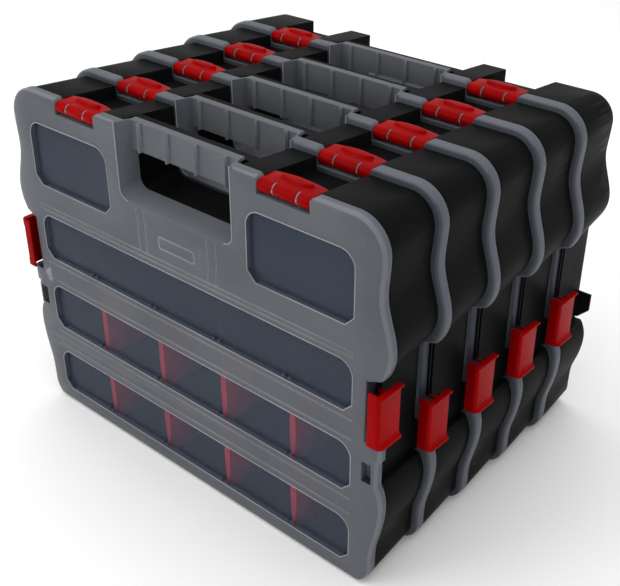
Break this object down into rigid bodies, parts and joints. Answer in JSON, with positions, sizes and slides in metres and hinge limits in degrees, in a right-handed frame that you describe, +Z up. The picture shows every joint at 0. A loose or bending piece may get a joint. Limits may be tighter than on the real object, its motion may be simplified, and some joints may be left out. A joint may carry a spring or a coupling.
{
  "type": "compartment storage box",
  "caption": "Block of carrying cases for small parts, clipped front to back, with smoky see-through lids, red latches and clips, dividers and handles on top.",
  "frame": {"origin": "centre of the block's footprint on the floor", "axes": "+X across the cases, to the right when facing the front lid; +Y from the front lid to the rear case; +Z up towards the handles"},
  "size_m": [0.4138, 0.3264, 0.3173],
  "materials": {
    "black_base": "satin black",
    "smoky_lid": "frosted smoky translucent, with clearer windows",
    "red_latch": "glossy red",
    "red_clip": "glossy red",
    "red_divider": "satin red"
  },
  "bodies": {
    "case_5": {"base_5": "black_base", "lid_5": "smoky_lid", "dividers_5": "red_divider"},
    "case_4": {"base_4": "black_base", "lid_4": "smoky_lid", "dividers_4": "red_divider"},
    "case_3": {"base_3": "black_base", "lid_3": "smoky_lid", "dividers_3": "red_divider"},
    "case_2": {"base_2": "black_base", "lid_2": "smoky_lid", "dividers_2": "red_divider"},
    "case_1": {"base_1": "black_base", "divider_row_3_1": "red_divider", "divider_row_3_2": "red_divider", "divider_row_3_3": "red_divider", "divider_row_3_4": "red_divider", "divider_row_4_1": "red_divider", "divider_row_4_2": "red_divider", "divider_row_4_3": "red_divider", "divider_row_4_4": "red_divider"},
    "front_lid": {"lid_1": "smoky_lid"},
    "latch_left_1": {"latch_left_1": "red_latch"},
    "clip_left_1": {"clip_left_1": "red_clip"},
    "latch_right_1": {"latch_right_1": "red_latch"},
    "clip_right_1": {"clip_right_1": "red_clip"},
    "latch_left_2": {"latch_left_2": "red_latch"},
    "clip_left_2": {"clip_left_2": "red_clip"},
    "latch_right_2": {"latch_right_2": "red_latch"},
    "clip_right_2": {"clip_right_2": "red_clip"},
    "latch_left_3": {"latch_left_3": "red_latch"},
    "clip_left_3": {"clip_left_3": "red_clip"},
    "latch_right_3": {"latch_right_3": "red_latch"},
    "clip_right_3": {"clip_right_3": "red_clip"},
    "latch_left_4": {"latch_left_4": "red_latch"},
    "clip_left_4": {"clip_left_4": "red_clip"},
    "latch_right_4": {"latch_right_4": "red_latch"},
    "clip_right_4": {"clip_right_4": "red_clip"},
    "latch_left_5": {"latch_left_5": "red_latch"},
    "clip_left_5": {"clip_left_5": "red_clip"},
    "latch_right_5": {"latch_right_5": "red_latch"},
    "clip_right_5": {"clip_right_5": "red_clip"}
  },
  "joints": [
    {"name": "case_4_unstack", "type": "slide", "parent": "case_5", "child": "case_4", "axis": [0, -1, 0], "range_m": [0, 0.08]},
    {"name": "case_3_unstack", "type": "slide", "parent": "case_4", "child": "case_3", "axis": [0, -1, 0], "range_m": [0, 0.08]},
    {"name": "case_2_unstack", "type": "slide", "parent": "case_3", "child": "case_2", "axis": [0, -1, 0], "range_m": [0, 0.08]},
    {"name": "case_1_unstack", "type": "slide", "parent": "case_2", "child": "case_1", "axis": [0, -1, 0], "range_m": [0, 0.08]},
    {"name": "front_lid_hinge", "type": "hinge", "parent": "case_1", "child": "front_lid", "pos_m": [0, -0.15435, 0.0047], "axis": [1, 0, 0], "range_deg": [0, 90]},
    {"name": "latch_left_1_hinge", "type": "hinge", "parent": "front_lid", "child": "latch_left_1", "pos_m": [-0.1125, -0.15305, 0.31], "axis": [1, 0, 0], "range_deg": [0, 80]},
    {"name": "clip_left_1_slide", "type": "slide", "parent": "case_1", "child": "clip_left_1", "axis": [0, 0, 1], "range_m": [-0.0404, 0]},
    {"name": "latch_right_1_hinge", "type": "hinge", "parent": "front_lid", "child": "latch_right_1", "pos_m": [0.1125, -0.15305, 0.31], "axis": [1, 0, 0], "range_deg": [0, 80]},
    {"name": "clip_right_1_slide", "type": "slide", "parent": "case_1", "child": "clip_right_1", "axis": [0, 0, 1], "range_m": [-0.0404, 0]},
    {"name": "latch_left_2_hinge", "type": "hinge", "parent": "case_2", "child": "latch_left_2", "pos_m": [-0.1125, -0.08945, 0.31], "axis": [1, 0, 0], "range_deg": [0, 80]},
    {"name": "clip_left_2_slide", "type": "slide", "parent": "case_2", "child": "clip_left_2", "axis": [0, 0, 1], "range_m": [0, 0.0404]},
    {"name": "latch_right_2_hinge", "type": "hinge", "parent": "case_2", "child": "latch_right_2", "pos_m": [0.1125, -0.08945, 0.31], "axis": [1, 0, 0], "range_deg": [0, 80]},
    {"name": "clip_right_2_slide", "type": "slide", "parent": "case_2", "child": "clip_right_2", "axis": [0, 0, 1], "range_m": [0, 0.0404]},
    {"name": "latch_left_3_hinge", "type": "hinge", "parent": "case_3", "child": "latch_left_3", "pos_m": [-0.1125, -0.02585, 0.31], "axis": [1, 0, 0], "range_deg": [0, 80]},
    {"name": "clip_left_3_slide", "type": "slide", "parent": "case_3", "child": "clip_left_3", "axis": [0, 0, 1], "range_m": [0, 0.0404]},
    {"name": "latch_right_3_hinge", "type": "hinge", "parent": "case_3", "child": "latch_right_3", "pos_m": [0.1125, -0.02585, 0.31], "axis": [1, 0, 0], "range_deg": [0, 80]},
    {"name": "clip_right_3_slide", "type": "slide", "parent": "case_3", "child": "clip_right_3", "axis": [0, 0, 1], "range_m": [0, 0.0404]},
    {"name": "latch_left_4_hinge", "type": "hinge", "parent": "case_4", "child": "latch_left_4", "pos_m": [-0.1125, 0.03775, 0.31], "axis": [1, 0, 0], "range_deg": [0, 80]},
    {"name": "clip_left_4_slide", "type": "slide", "parent": "case_4", "child": "clip_left_4", "axis": [0, 0, 1], "range_m": [0, 0.0404]},
    {"name": "latch_right_4_hinge", "type": "hinge", "parent": "case_4", "child": "latch_right_4", "pos_m": [0.1125, 0.03775, 0.31], "axis": [1, 0, 0], "range_deg": [0, 80]},
    {"name": "clip_right_4_slide", "type": "slide", "parent": "case_4", "child": "clip_right_4", "axis": [0, 0, 1], "range_m": [0, 0.0404]},
    {"name": "latch_left_5_hinge", "type": "hinge", "parent": "case_5", "child": "latch_left_5", "pos_m": [-0.1125, 0.10135, 0.31], "axis": [1, 0, 0], "range_deg": [0, 80]},
    {"name": "clip_left_5_slide", "type": "slide", "parent": "case_5", "child": "clip_left_5", "axis": [0, 0, 1], "range_m": [0, 0.0404]},
    {"name": "latch_right_5_hinge", "type": "hinge", "parent": "case_5", "child": "latch_right_5", "pos_m": [0.1125, 0.10135, 0.31], "axis": [1, 0, 0], "range_deg": [0, 80]},
    {"name": "clip_right_5_slide", "type": "slide", "parent": "case_5", "child": "clip_right_5", "axis": [0, 0, 1], "range_m": [0, 0.0404]}
  ]
}
